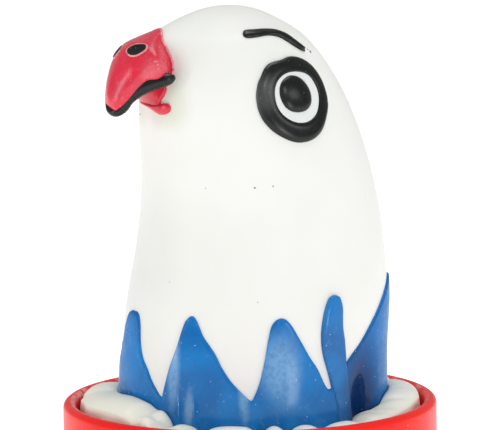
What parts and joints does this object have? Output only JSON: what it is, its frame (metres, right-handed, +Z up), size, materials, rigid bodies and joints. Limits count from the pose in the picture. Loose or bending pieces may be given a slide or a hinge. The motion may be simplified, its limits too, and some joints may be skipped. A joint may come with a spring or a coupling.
{
  "type": "novelty bird head in tub",
  "caption": "Hollow dipped rubber bird head with hooked beak and scalloped collar, its thin skirt gathered inside a round tub.",
  "frame": {"origin": "centre of the tub's foot, on the surface it stands on", "axes": "+Z up along the tub's axis, the beak points along -Y, the bird's left is +X"},
  "size_m": [0.06, 0.06, 0.0874],
  "materials": {
    "tub_plastic": "semi-gloss moulded, rim lightly scuffed",
    "white_rubber": "satin dipped rubber",
    "film_rubber": "thin satin rubber, slightly see-through grey",
    "blue_rubber": "satin painted rubber film",
    "red_rubber": "satin painted rubber with a chalky bloom",
    "black_rubber": "satin painted rubber bead"
  },
  "bodies": {
    "tub": {"tub": "tub_plastic"},
    "hem": {"hem_ring": "film_rubber"},
    "bird": {"skirt": "film_rubber", "head_shell": "white_rubber", "feather_collar": "blue_rubber", "tall_feather_left": "blue_rubber", "tall_feather_right": "blue_rubber", "beak_upper": "red_rubber", "beak_lower": "red_rubber", "chin_drop": "red_rubber", "mouth_line": "black_rubber", "nostril_left": "black_rubber", "nostril_right": "black_rubber", "eye_patch_left": "black_rubber", "eye_patch_right": "black_rubber", "eye_white_left": "white_rubber", "eye_white_right": "white_rubber", "pupil_left": "black_rubber", "pupil_right": "black_rubber", "eyebrow_left": "black_rubber", "eyebrow_right": "black_rubber"}
  },
  "joints": [
    {"name": "bird_lift", "type": "slide", "parent": "tub", "child": "hem", "axis": [0, 0, 1], "range_m": [0, 0.04]},
    {"name": "bird_turn", "type": "hinge", "parent": "hem", "child": "bird", "pos_m": [0, 0, 0], "axis": [0, 0, 1], "continuous": true}
  ]
}
